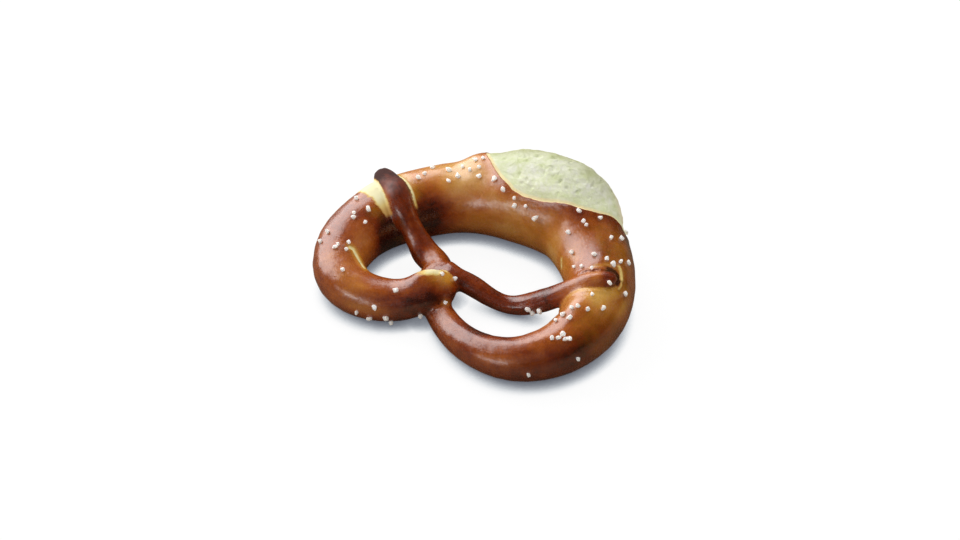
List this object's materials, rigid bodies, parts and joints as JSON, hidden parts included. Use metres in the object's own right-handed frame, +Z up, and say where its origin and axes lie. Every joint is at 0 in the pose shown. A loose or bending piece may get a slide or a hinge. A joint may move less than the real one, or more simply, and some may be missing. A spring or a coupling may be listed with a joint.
{
  "type": "soft pretzel",
  "caption": "Soft pretzel: a fat-bellied rope of baked dough, its thin ends twisted round each other and laid back over the ring, with the belly split open.",
  "frame": {"origin": "middle of the bounding box in plan, on the surface that the pretzel lies on", "axes": "+X to the lobe that the longer arm crosses, along the long side; +Y from the twist to the belly; +Z up"},
  "size_m": [0.1542, 0.1334, 0.046],
  "materials": {
    "crust": "satin browned crust, darker on the thin arms, with pale matt crumb in the split"
  },
  "bodies": {
    "root": {"pretzel": "crust"}
  },
  "joints": []
}
